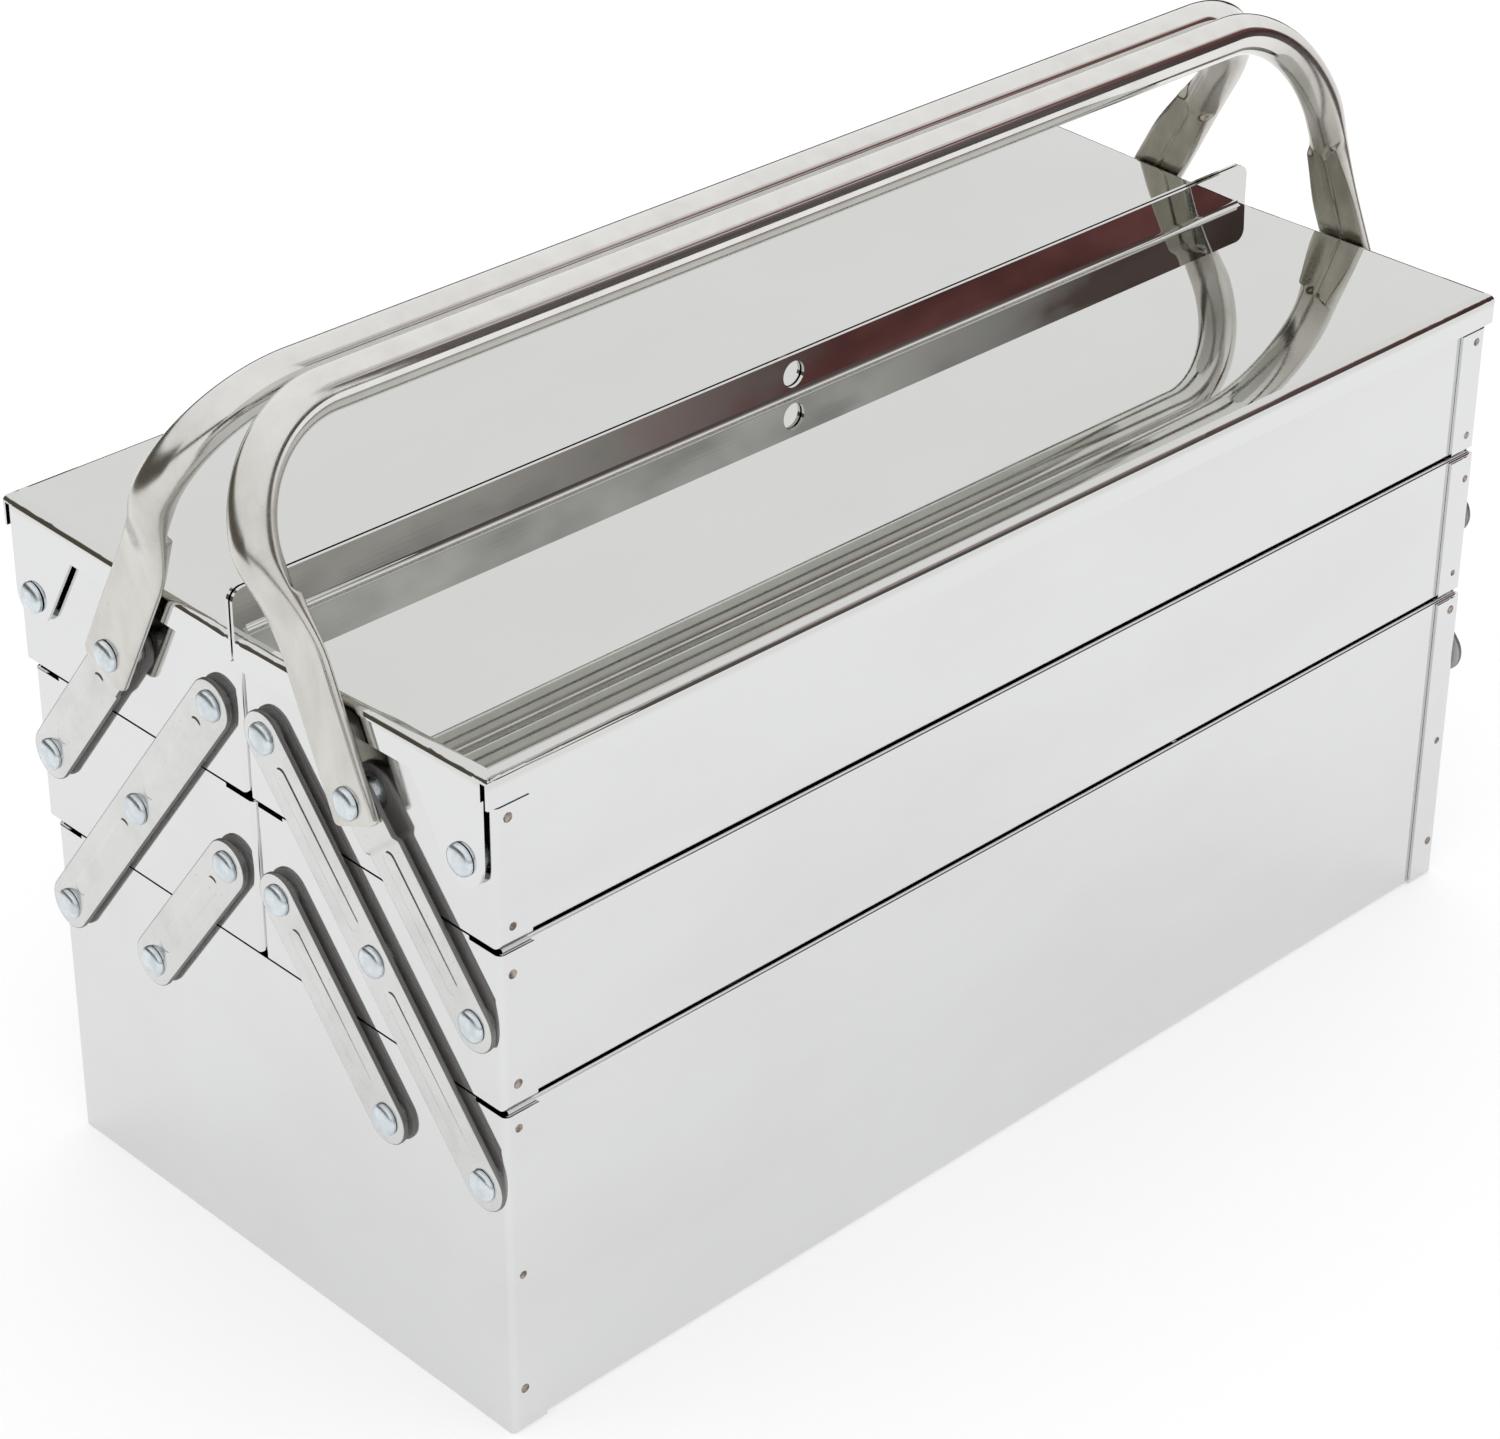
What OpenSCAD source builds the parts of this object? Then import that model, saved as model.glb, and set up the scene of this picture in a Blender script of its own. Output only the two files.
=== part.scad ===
// Cantilever tool box of folded sheet: a full-width bottom box, two middle trays and two top trays
// with lids, hung on riveted swing arms at both ends and opened by two bent tube handles.
// +X runs along the box, +Y across it, +Z up. The origin is the middle of the bottom face.

/* [Boxes] */
// Length over the end panels
body_l = 412; // [330:2:500]
// Width of the bottom box
body_w = 200; // [166:2:260]
// Height of the bottom box
base_h = 110; // [90:1:150]
// Height of a middle tray
tray_h = 50.9; // [42:0.1:62]
// Gap between one tier and the next
tier_gap = 0.7; // [0.5:0.1:2.5]
// How much further each tier reaches on each side than the one below
tier_step = 1.9; // [1:0.1:4]
// Lean of each tier towards the rear
tier_lean = 2.4; // [0:0.1:3]
// Gap between the front and the rear tray of a tier
centre_gap = 0.8; // [0.6:0.1:2]

/* [Sheet] */
// Thickness of the sheet
sheet = 1; // [0.8:0.1:1.2]
// Outer radius of the bends along the bottom of a box
fold_r = 1.5; // [1.3:0.1:4]
// Outer radius of the bends round the lids
bend_r = 3; // [2:0.5:4]
// Outer radius of the bends down the corners
corner_r = 2; // [1.5:0.5:3]
// Width of an end panel's flanges on the long walls
flange_w = 12; // [8:1:16]
// Depth of the hem folded inwards along each rim
hem_h = 7; // [5:1:10]
// How far an end panel's hem stops short of the corners
hem_stop = 12; // [8:1:16]
// How much lower an end panel is where its hem stops
hem_step = 1.2; // [0.5:0.1:2]
// Slack between a trough and its end panels
seam = 0.1; // [0.05:0.05:0.2]

/* [Lids] */
// Height of a lid's top above a tray of the middle tier's height
lid_rise = 3.1; // [2.5:0.1:5]
// Play between a lid and the rim under it
lid_play = 0.4; // [0.3:0.1:0.8]
// Depth of a lid's end skirt, from the lid's top
skirt_h = 10.3; // [8:0.1:14]
// Depth of a lid's long lip, from the lid's top
lip_h = 10.3; // [8:0.1:14]
// Reach of a lid's skirt and ears past the end panel
lid_reach = 2.2; // [1.8:0.1:3]
// Reach of a lid's long lip past the tray's flange
lip_reach = 0.3; // [0.2:0.1:1]
// Radius of a lid's ear under its pivot
ear_r = 8; // [7:0.5:8]
// Distance from the lid's pivot out to the upright edge of the ear
ear_out = 8.1; // [8:0.1:9.7]
// Slant of the ear's inner edge
ear_slant = 30; // [15:1:40]
// How much lower a lid is at the split than over its long lip
lid_sag = 2.4; // [0:0.1:4]
// Height of the centre flange above the lid
upstand_h = 13.5; // [12.5:0.5:18]
// Radius of the centre flange's end corners
upstand_r = 4; // [3:0.5:6]
// Diameter of the padlock hole
padlock_d = 8.6; // [6:0.2:9]
// Height of the padlock hole above the lid
padlock_z = 7; // [6:0.5:9]

/* [Arms] */
// Width of an arm
arm_w = 16; // [13:0.5:18]
// Thickness of an arm
arm_t = 1.5; // [1.2:0.1:2]
// Gap between an end panel and the arms
arm_gap = 1; // [0.8:0.1:1.5]
// Inset of the outermost pivots from the side of the bottom box
pivot_inset = 6.9; // [6.5:0.1:12]
// Distance from the split between the trays to the innermost pivots
pivot_inner = 11.5; // [10:0.5:16]
// Depth of the bottom box's pivots below its rim
pivot_drop = 25.1; // [18:0.1:40]
// How much lower in its tray each tier's pivots sit than those of the tier below
pivot_sag = 0.7; // [0:0.1:2]
// Outward step in the upper end of a handle's link
joggle = 1.2; // [0.8:0.1:1.6]
// Length of the stepped end below its pivot
joggle_l = 13; // [12:0.5:18]

/* [Handles] */
// Diameter of the handle tube
tube_d = 13; // [10:0.5:16]
// Radius of the handle's bends, on the tube's centre line
tube_bend = 36; // [25:1:40]
// Height of the middle of the grips above the lids
grip_h = 65.5; // [55:0.5:80]
// Gap between the two grips
grip_gap = 1.5; // [0.8:0.1:3]
// Offset of the pair of grips towards the rear
grip_lean = 0.6; // [0:0.1:2]
// Width of a flattened leg
flat_w = 19; // [17:0.5:20]
// Thickness of a flattened leg
flat_t = 3; // [2.6:0.1:3.4]
// Length of a leg's flat, above its pivot
flat_l = 38; // [30:1:42]
// Length over which a leg goes from flat to round
flare_l = 26; // [8:1:28]
// Reach of a leg past its pivot
flat_end = 6.5; // [6:0.5:9]

/* [Rivets] */
// Diameter of a rivet's shank
shank_d = 5; // [4:0.2:5.6]
// Diameter of a rivet's head
head_d = 9.6; // [8:0.2:11]
// Height of a rivet's head
head_h = 1.9; // [1.4:0.1:2.4]
// Height of the upright rim under a head's dome
head_rim = 0.4; // [0.3:0.1:0.8]
// Diameter of a rivet's tail inside the tray
tail_d = 8; // [7:0.2:8.4]
// Height of a rivet's tail
tail_h = 1.2; // [0.8:0.1:1.6]
// Diameter of a washer
washer_d = 11; // [9:0.5:12]
// Clearance round a shank
shank_play = 0.05; // [0.03:0.01:0.1]
// Clearance along a shank, on each face of what turns on it
face_play = 0.15; // [0.1:0.05:0.2]

/* [Hidden] */
$fn = 64;
front = -1;
rear = 1;
left = -1;
right = 1;
cut = 1;

// Pivot columns, as distances from the middle of a tier, and pivot heights.
outer_col = body_w / 2 - pivot_inset;
inner_col = pivot_inner;
middle_col = (outer_col + inner_col) / 2;
arm_rise = tray_h + tier_gap - pivot_sag;
base_pivot_z = base_h - pivot_drop;

// Heights of the tiers.
middle_z = base_h + tier_gap;
top_z = middle_z + tray_h + tier_gap;
lid_top = top_z + tray_h + lid_rise;
split_top = lid_top - lid_sag;
top_rim = split_top - sheet - lid_play;
tier_bottom = [0, middle_z, top_z];
tier_rim = [base_h, middle_z + tray_h, top_rim];

// The lid turns about the outer pivot, so what is outside that pivot stays inside this radius.
lid_pivot_z = base_pivot_z + 2 * arm_rise;
turn_r = top_rim - lid_pivot_z - lid_play;
edge_reach = body_w / 2 + 2 * tier_step - outer_col;
top_outer_rim = lid_pivot_z + sqrt(turn_r * turn_r - edge_reach * edge_reach);

// The flanges under the lid's long lip stay inside the path of the lip's inner edge.
lip_turn_r = norm([edge_reach + lip_reach - sheet, lid_top - lip_h - lid_pivot_z]) - lid_play;
top_flange_rim = lid_pivot_z + sqrt(lip_turn_r * lip_turn_r - edge_reach * edge_reach);

// Faces stacked outwards from an end panel.
arm_face = arm_gap + arm_t;
leg_in = arm_face + joggle;
leg_out = leg_in + flat_t;
lid_gap = lid_reach - sheet;
end_x = body_l / 2;

// Handles: the flat and the tube share the face towards the box.
grip_z = lid_top + grip_h;
leg_x = end_x + leg_in + face_play + tube_d / 2;
foot_r = 1.5;
tube_sides = 32;
flare_steps = 5;
bend_step = 10;

// Across and height of a pivot: side is front or rear, tier is 0 at the bottom.
function pivot(side, column, tier) = [side * column + tier * tier_lean, base_pivot_z + tier * arm_rise];

// Distance across from the split to a tier's outer face, and the place of either face.
function half_width(tier) = body_w / 2 + tier * tier_step;
function outer_y(side, tier) = side * half_width(tier) + tier * tier_lean;
function inner_y(side, tier) = side * centre_gap / 2 + tier * tier_lean;

// What lies under a rivet's head, outwards from the end panel.
function seat(tier, column) =
    tier == 2 && column == outer_col ? lid_gap
    : tier == 2 && column == middle_col ? arm_gap + joggle
    : arm_gap;
function stack(tier, column) =
    tier == 2 && column == outer_col ? lid_reach
    : tier == 2 && column == middle_col ? leg_out
    : arm_face;

// Columns that carry a pivot on a tier.
function columns(tier) = tier == 0 ? [outer_col, middle_col] : [outer_col, middle_col, inner_col];

// Extrudes an outline drawn in the Y-Z plane from x0 to x1.
module along_x(x0, x1) {
    translate([x0, 0, 0]) rotate([90, 0, 90]) linear_extrude(x1 - x0) children();
}

// Shows what is built at the right end, at either end.
module at_end(end) {
    if (end == right) {
        children();
    } else {
        mirror([1, 0, 0]) children();
    }
}

// Stands children on an end panel's outer face at a pivot, with +Z outwards.
module on_pivot(end, place) {
    at_end(end) translate([end_x, place[0], place[1]]) rotate([0, 90, 0]) children();
}

// Turns children so that their +Z runs from one point of the Y-Z plane to another.
module from_to(start, finish) {
    run = finish - start;
    translate([0, start[0], start[1]]) rotate([atan2(-run[0], run[1]), 0, 0]) children();
}

// Outline between a0 and a1 and b0 and b1, with its two corners at b0 rounded.
module round_foot(a0, a1, b0, b1, r) {
    translate([a0 + r, b0]) square([a1 - a0 - 2 * r, b1 - b0]);
    translate([a0, b0 + r]) square([a1 - a0, b1 - b0 - r]);
    for (a = [a0 + r, a1 - r]) {
        translate([a, b0 + r]) circle(r);
    }
}

// Strip with round ends, centred on the line from the origin to l up.
module strip(l, w) {
    translate([-w / 2, 0]) square([w, l]);
    for (z = [0, l]) {
        translate([0, z]) circle(d = w);
    }
}

// Hem along the top of a wall whose outer face is at y, folded inwards.
module hem(y, inwards, top) {
    w = 2 * sheet;
    translate([y + inwards * w / 2, top - w / 2]) circle(d = w);
    translate([min(y, y + inwards * w), top - hem_h]) square([w, hem_h - w / 2]);
}

// Bottom and two long walls folded from one sheet, between y0 and y1, from the bottom z up to a rim
// on each side.
module trough(y0, y1, z, rim0, rim1) {
    slack = sheet + seam;
    a0 = y0 + slack;
    a1 = y1 - slack;
    x = end_x - max(slack, corner_r);
    high = max(rim0, rim1) + cut;
    color("gainsboro") along_x(-x, x) {
        difference() {
            round_foot(a0, a1, z, high, fold_r);
            round_foot(a0 + sheet, a1 - sheet, z + sheet, high + cut, fold_r - sheet);
            translate([a0 - cut, rim0 - sheet]) square([sheet + 2 * cut, high]);
            translate([a1 - sheet - cut, rim1 - sheet]) square([sheet + 2 * cut, high]);
        }
        hem(a0, 1, rim0);
        hem(a1, -1, rim1);
    }
}

// End panel with a flange on each long wall and a hemmed rim that stops short of the corners.
// rim0 and rim1 are the heights of its corners at y0 and y1.
module end_panel(end, side_list, tier, y0, y1, rim0, rim1) {
    z = tier_bottom[tier];
    rim = tier_rim[tier];
    color("silver") difference() {
        at_end(end) intersection() {
            union() {
                translate([end_x, 0, z]) rotate([0, 0, 90]) linear_extrude(rim - z) difference() {
                    round_foot(y0, y1, 0, flange_w, corner_r);
                    round_foot(y0 + sheet, y1 - sheet, sheet, flange_w + cut, corner_r - sheet);
                }
                translate([end_x - 2 * sheet, y0 + hem_stop, rim - hem_h])
                    cube([2 * sheet, y1 - y0 - 2 * hem_stop, hem_h]);
            }
            along_x(end_x - flange_w - cut, end_x + cut) difference() {
                round_foot(y0, y1, z, rim + cut, fold_r);
                translate([y0 - cut, rim0]) square([hem_stop + cut, rim]);
                translate([y1 - hem_stop, rim1]) square([hem_stop + cut, rim]);
            }
        }
        for (side = side_list, column = columns(tier)) {
            on_pivot(end, pivot(side, column, tier))
                translate([0, 0, -sheet - cut]) cylinder(h = sheet + 2 * cut, d = shank_d + 2 * shank_play);
        }
    }
}

// Rivet that holds a stack of the given height on an end panel.
module rivet(height) {
    dome_h = head_h - head_rim;
    dome_r = (head_d * head_d / 4 + dome_h * dome_h) / (2 * dome_h);
    translate([0, 0, -sheet - tail_h]) cylinder(h = tail_h, d = tail_d);
    translate([0, 0, -sheet - tail_h / 2]) cylinder(h = height + sheet + tail_h / 2 + head_rim, d = shank_d);
    translate([0, 0, height]) cylinder(h = head_rim, d = head_d);
    translate([0, 0, height + head_rim]) rotate_extrude() intersection() {
        translate([0, dome_h - dome_r]) circle(dome_r);
        square([head_d / 2, dome_h]);
    }
}

// Rivets of a tier on the sides listed, at both ends.
module rivets(side_list, tier) {
    color("lightsteelblue") for (end = [left, right], side = side_list, column = columns(tier)) {
        on_pivot(end, pivot(side, column, tier)) rivet(stack(tier, column) + 2 * face_play);
    }
}

// Washers under the arms, links and lid ears of a tier.
module washers(side_list, tier) {
    color("darkgray") for (end = [left, right], side = side_list, column = columns(tier)) {
        on_pivot(end, pivot(side, column, tier)) difference() {
            cylinder(h = seat(tier, column), d = washer_d);
            translate([0, 0, -cut]) cylinder(h = seat(tier, column) + 2 * cut, d = shank_d + 2 * shank_play);
        }
    }
}

module base_trough() {
    trough(outer_y(front, 0), outer_y(rear, 0), 0, base_h, base_h);
}

module base_end(end) {
    corner = base_h - hem_step;
    end_panel(end, [front, rear], 0, outer_y(front, 0), outer_y(rear, 0), corner, corner);
}

// Low and high side of a tray across the box, and whether its outer wall is the low side.
function tray_low(side, tier) = side == front ? outer_y(front, tier) : inner_y(rear, tier);
function tray_high(side, tier) = side == front ? inner_y(front, tier) : outer_y(rear, tier);

// Rim of a tray's outer long wall and of its inner one, which the lid closes onto on the top tier.
function outer_rim(tier) = tier == 2 ? top_outer_rim : tier_rim[tier];

module tray_trough(side, tier) {
    rims = side == front ? [outer_rim(tier), tier_rim[tier]] : [tier_rim[tier], outer_rim(tier)];
    trough(tray_low(side, tier), tray_high(side, tier), tier_bottom[tier], rims[0], rims[1]);
}

module tray_end(side, tier, end) {
    inner = tier_rim[tier] - hem_step;
    outer = tier == 2 ? top_flange_rim : inner;
    rims = side == front ? [outer, inner] : [inner, outer];
    end_panel(end, [side], tier, tray_low(side, tier), tray_high(side, tier), rims[0], rims[1]);
}

// Solid of a lid's outside, or of its inside when inset is the sheet.
module lid_block(side, inset) {
    r = bend_r - inset;
    lip = half_width(2) + lip_reach - inset;
    reach = end_x + lid_reach - inset;
    split = centre_gap / 2 - (inset > 0 ? cut : 0);
    deep = lip_h + cut;
    intersection() {
        along_x(-reach, reach) translate([2 * tier_lean, lid_top - inset]) mirror([side == front ? 1 : 0, 0])
            mirror([0, 1]) {
            translate([split, 0]) square([lip - r - split, deep]);
            translate([split, r]) square([lip - split, deep - r]);
            translate([lip - r, r]) circle(r);
        }
        translate([0, outer_y(rear, 2) + cut, 0]) rotate([90, 0, 0])
            linear_extrude(outer_y(rear, 2) - outer_y(front, 2) + 2 * cut) translate([0, lid_top - inset])
            mirror([0, 1]) round_foot(-reach, reach, 0, deep, r);
    }
}

// Ear of a lid, in distances outwards from the pivot and up, as far up as the skirt's edge.
module ear_outline(top) {
    middle = ear_out - ear_r;
    low_y = middle - ear_r * cos(ear_slant);
    low_z = -ear_r * sin(ear_slant);
    translate([middle, 0]) circle(ear_r);
    polygon([
        [low_y, low_z],
        [middle, 0],
        [ear_out, 0],
        [ear_out, top],
        [low_y - (top - low_z) * tan(ear_slant), top]
    ]);
}

// Lets a lid's sheet drop towards the split, from its full height over the long lip.
module sagging(side, end_y) {
    slope = side * lid_sag / (half_width(2) + lip_reach);
    multmatrix([
        [1, 0, 0, 0],
        [0, 1, 0, 0],
        [0, slope, 1, -slope * end_y],
        [0, 0, 0, 1]
    ]) children();
}

// What is cut off a lid's sheet at one end: end_y is the lip's outer face.
module lid_end_cuts(side, end_y) {
    skirt_z = lid_top - skirt_h;
    notch_x = end_x - flange_w - 2 * seam - lip_reach;
    ear_y = pivot(side, outer_col, 2)[0] + side * ear_out;
    lip_y = end_y - side * sheet;
    // Below the skirt's edge only the long lip is left.
    translate([notch_x, -body_w, skirt_z - body_w]) cube([body_w, 2 * body_w, body_w]);
    // A slot between the ear's upright edge and the long lip.
    translate([end_x, min(ear_y, lip_y), skirt_z - cut])
        cube([lid_reach + cut, abs(lip_y - ear_y), skirt_h - bend_r + cut]);
    // The skirt's corner at the split is rounded.
    translate([end_x, inner_y(side, 2), skirt_z]) rotate([90, 0, 90])
        linear_extrude(lid_reach + cut) difference() {
        translate([-bend_r, -cut]) square([2 * bend_r, bend_r + cut]);
        translate([side * bend_r, bend_r]) circle(bend_r);
        translate([side == front ? -2 * bend_r : bend_r, -cut]) square([bend_r, bend_r + 2 * cut]);
    }
}

// Lid folded from one sheet: top, long lip, end skirts with an ear each, and the centre flange.
module lid(side) {
    place = pivot(side, outer_col, 2);
    lip_z = lid_top - lip_h;
    end_y = 2 * tier_lean + side * (half_width(2) + lip_reach);
    split_y = inner_y(side, 2);
    color("whitesmoke") difference() {
        union() {
            sagging(side, end_y) difference() {
                lid_block(side, 0);
                lid_block(side, sheet);
                for (end = [left, right]) {
                    at_end(end) lid_end_cuts(side, end_y);
                }
                translate([-body_l, -body_w, lip_z - body_w]) cube([2 * body_l, 2 * body_w, body_w]);
            }
            for (end = [left, right]) {
                at_end(end) along_x(end_x + lid_gap, end_x + lid_reach) translate(place)
                    mirror([side == front ? 1 : 0, 0]) ear_outline(lid_top - skirt_h - place[1] + cut);
            }
            upstand(side, split_y);
        }
        for (end = [left, right]) {
            on_pivot(end, place) cylinder(h = lid_reach + cut, d = shank_d + 2 * shank_play);
        }
        translate([0, split_y, split_top + padlock_z]) rotate([90, 0, 0])
            cylinder(h = 4 * bend_r, d = padlock_d, center = true);
    }
}

// Flange that stands up along a lid's inner edge, with a fillet where it leaves the lid. It runs on
// down over the bends at the lid's ends.
module upstand(side, split_y) {
    x = end_x + lid_reach;
    fillet = bend_r - sheet;
    plate_y = min(split_y, split_y + side * sheet);
    foot_z = split_top - sheet / 2;
    translate([0, plate_y + sheet, foot_z]) rotate([90, 0, 0]) linear_extrude(sheet)
        mirror([0, 1]) translate([0, -upstand_h - sheet / 2])
        round_foot(-x, x, 0, upstand_h + sheet / 2, upstand_r);
    for (end = [left, right]) {
        at_end(end) translate([end_x + seam, plate_y, split_top - bend_r])
            cube([lid_reach - seam, sheet, bend_r]);
    }
    along_x(-x + upstand_r, x - upstand_r) translate([split_y + side * sheet, split_top]) difference() {
        translate([min(0, side * fillet), -sheet / 2]) square([fillet, fillet + sheet / 2]);
        translate([side * fillet, fillet]) circle(fillet);
    }
}

// Flat arm between two pivots at an end, with a hole for each of the given number of pivots.
module arm(end, start, finish, holes) {
    l = norm(finish - start);
    color("lightgray") at_end(end) from_to(start, finish)
        along_x(end_x + arm_gap + face_play, end_x + arm_face + face_play) difference() {
        strip(l, arm_w);
        for (i = [0 : holes - 1]) {
            translate([0, i * l / (holes - 1)]) circle(d = shank_d + 2 * shank_play);
        }
    }
}

module long_arm(side, end) {
    arm(end, pivot(side, outer_col, 0), pivot(side, inner_col, 2), 3);
}

module short_arm(side, end) {
    arm(end, pivot(side, middle_col, 0), pivot(side, inner_col, 1), 2);
}

// Link from the middle tray to the foot of a handle, stepped outwards under the handle.
module link(side, end) {
    start = pivot(side, outer_col, 1);
    finish = pivot(side, middle_col, 2);
    l = norm(finish - start);
    low = end_x + arm_gap + face_play;
    high = low + joggle;
    step = l - joggle_l;
    foot = -arm_w;
    color("lightgray") at_end(end) from_to(start, finish) intersection() {
        along_x(low - cut, high + arm_t + cut) difference() {
            strip(l, arm_w);
            for (z = [0, l]) {
                translate([0, z]) circle(d = shank_d + 2 * shank_play);
            }
        }
        translate([0, arm_w, 0]) rotate([90, 0, 0]) linear_extrude(2 * arm_w) polygon([
            [low, foot],
            [low + arm_t, foot],
            [low + arm_t, step - 2 * joggle],
            [high + arm_t, step],
            [high + arm_t, l + arm_w],
            [high, l + arm_w],
            [high, step],
            [low, step - 2 * joggle]
        ]);
    }
}

// Cross-section of a handle, outwards and across: flattened at t = 0 and round at t = 1. The flat is
// narrower by trim at each edge.
function section(t, trim) = [
    for (i = [0 : tube_sides - 1])
        let (a = 360 * i / tube_sides)
        let (edge = sign(sin(a)) * ((flat_w - flat_t) / 2 - trim))
        let (flat = [flat_t / 2 * cos(a), flat_t / 2 * sin(a) + edge])
        flat + t * (tube_d / 2 * [cos(a), sin(a)] - flat)
];

// Ring of a handle's leg at height z, with its inner face where the flat's inner face is.
function leg_ring(z, t, trim) =
    let (x = end_x + leg_in + face_play + flat_t / 2 + t * (tube_d - flat_t) / 2)
    [for (p = section(t, trim)) [x + p[0], p[1], z]];

// Ring of a bend, at angle b from the leg.
function bend_ring(b, leg_l) = [
    for (p = section(1, 0)) [
        leg_x - tube_bend + (tube_bend + p[0]) * cos(b),
        p[1],
        leg_l - tube_bend + (tube_bend + p[0]) * sin(b)
    ]
];

// Rings from a foot's end up one leg and round its bend.
function half_rings(leg_l) = concat(
    [for (q = [0 : 30 : 90]) leg_ring(foot_r * (1 - cos(q)) - flat_end, 0, foot_r * (1 - sin(q)))],
    [for (k = [0 : flare_steps])
        let (u = k / flare_steps)
        leg_ring(flat_l + u * flare_l, u * u * (3 - 2 * u), 0)],
    [for (b = [0 : bend_step : 90]) bend_ring(b, leg_l)]
);

// Same ring on the other leg.
function mirrored(ring) = [for (p = ring) [-p[0], p[1], p[2]]];

// Bent tube with both ends flattened, in its own plane: legs up +Z from their pivots.
module bent_tube(leg_l) {
    half = half_rings(leg_l);
    n = len(half);
    rings = concat(half, [for (j = [n - 1 : -1 : 0]) mirrored(half[j])]);
    last = (len(rings) - 1) * tube_sides;
    polyhedron(
        points = [for (ring = rings, p = ring) p],
        faces = concat(
            [[for (i = [0 : tube_sides - 1]) i]],
            [for (j = [0 : len(rings) - 2], i = [0 : tube_sides - 1])
                [j * tube_sides + i, (j + 1) * tube_sides + i,
                    (j + 1) * tube_sides + (i + 1) % tube_sides]],
            [for (j = [0 : len(rings) - 2], i = [0 : tube_sides - 1])
                [j * tube_sides + i, (j + 1) * tube_sides + (i + 1) % tube_sides,
                    j * tube_sides + (i + 1) % tube_sides]],
            [[for (i = [tube_sides - 1 : -1 : 0]) last + i]]
        )
    );
}

// Handle of one bent tube, with both flattened feet drilled where they lie on the links.
module handle(side) {
    start = pivot(side, middle_col, 2);
    finish = [grip_lean + side * (tube_d + grip_gap) / 2, grip_z];
    color("lightgray") from_to(start, finish) difference() {
        bent_tube(norm(finish - start));
        for (end = [left, right]) {
            at_end(end) translate([end_x + leg_in - cut, 0, 0]) rotate([0, 90, 0])
                cylinder(h = flat_t + 3 * cut, d = shank_d + 2 * shank_play);
        }
    }
}

base_trough();
base_end(left);  // base_end_left
base_end(right);  // base_end_right
rivets([front, rear], 0);  // base_rivets
washers([front, rear], 0);  // base_washers
tray_trough(front, 1);  // front_middle_trough
tray_end(front, 1, left);  // front_middle_end_left
tray_end(front, 1, right);  // front_middle_end_right
rivets([front], 1);  // front_middle_rivets
washers([front], 1);  // front_middle_washers
tray_trough(rear, 1);  // rear_middle_trough
tray_end(rear, 1, left);  // rear_middle_end_left
tray_end(rear, 1, right);  // rear_middle_end_right
rivets([rear], 1);  // rear_middle_rivets
washers([rear], 1);  // rear_middle_washers
tray_trough(front, 2);  // front_top_trough
tray_end(front, 2, left);  // front_top_end_left
tray_end(front, 2, right);  // front_top_end_right
rivets([front], 2);  // front_top_rivets
washers([front], 2);  // front_top_washers
tray_trough(rear, 2);  // rear_top_trough
tray_end(rear, 2, left);  // rear_top_end_left
tray_end(rear, 2, right);  // rear_top_end_right
rivets([rear], 2);  // rear_top_rivets
washers([rear], 2);  // rear_top_washers
lid(front);  // front_lid
lid(rear);  // rear_lid
long_arm(front, left);  // front_long_arm_left
long_arm(front, right);  // front_long_arm_right
long_arm(rear, left);  // rear_long_arm_left
long_arm(rear, right);  // rear_long_arm_right
short_arm(front, left);  // front_short_arm_left
short_arm(front, right);  // front_short_arm_right
short_arm(rear, left);  // rear_short_arm_left
short_arm(rear, right);  // rear_short_arm_right
link(front, left);  // front_link_left
link(front, right);  // front_link_right
link(rear, left);  // rear_link_left
link(rear, right);  // rear_link_right
handle(front);  // front_handle
handle(rear);  // rear_handle
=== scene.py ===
from math import cos, exp, pi, radians, sin, tau

import bmesh
import bpy
from mathutils import Matrix, Vector


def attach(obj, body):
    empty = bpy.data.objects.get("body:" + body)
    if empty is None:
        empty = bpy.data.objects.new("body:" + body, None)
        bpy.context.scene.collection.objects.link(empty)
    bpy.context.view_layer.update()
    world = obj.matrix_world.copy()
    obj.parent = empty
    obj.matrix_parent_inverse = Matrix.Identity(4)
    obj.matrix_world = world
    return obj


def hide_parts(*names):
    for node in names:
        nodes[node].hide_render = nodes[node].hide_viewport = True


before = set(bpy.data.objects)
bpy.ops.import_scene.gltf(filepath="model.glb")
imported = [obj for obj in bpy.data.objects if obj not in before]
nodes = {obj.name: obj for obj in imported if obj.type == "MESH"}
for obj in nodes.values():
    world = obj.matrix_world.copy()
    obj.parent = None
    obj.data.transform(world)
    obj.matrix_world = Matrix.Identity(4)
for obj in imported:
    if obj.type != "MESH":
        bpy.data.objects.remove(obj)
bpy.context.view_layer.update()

mm = 0.001

# Folded boxes: the bottom box and the four trays, each a trough between two flanged end panels.
# Bright-annealed stainless sheet, sheared, hemmed along the rims and folded on a brake; the rolls
# leave a faint grain along the sheet and handling leaves it slightly wavy and smeared.
SHEET = 1 * mm
END_X = 206 * mm
SHEET_BRIGHT = (0.722, 0.725, 0.726)
SHEET_SMEARED = (0.690, 0.693, 0.691)
GRAIN_DEPTH = 0.002 * mm
SKIRT_BLEND = 1.5 * mm
EVEN = (1, 1, 1)


def shader_node(tree, kind, inputs=(), **settings):
    made = tree.nodes.new(kind)
    for name, value in settings.items():
        setattr(made, name, value)
    for name, value in dict(inputs).items():
        if isinstance(value, bpy.types.NodeSocket):
            tree.links.new(value, made.inputs[name])
        else:
            made.inputs[name].default_value = value
    return made


def own_place(tree):
    """The piece's own coordinates."""
    return shader_node(tree, "ShaderNodeTexCoord").outputs["Object"]


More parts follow.
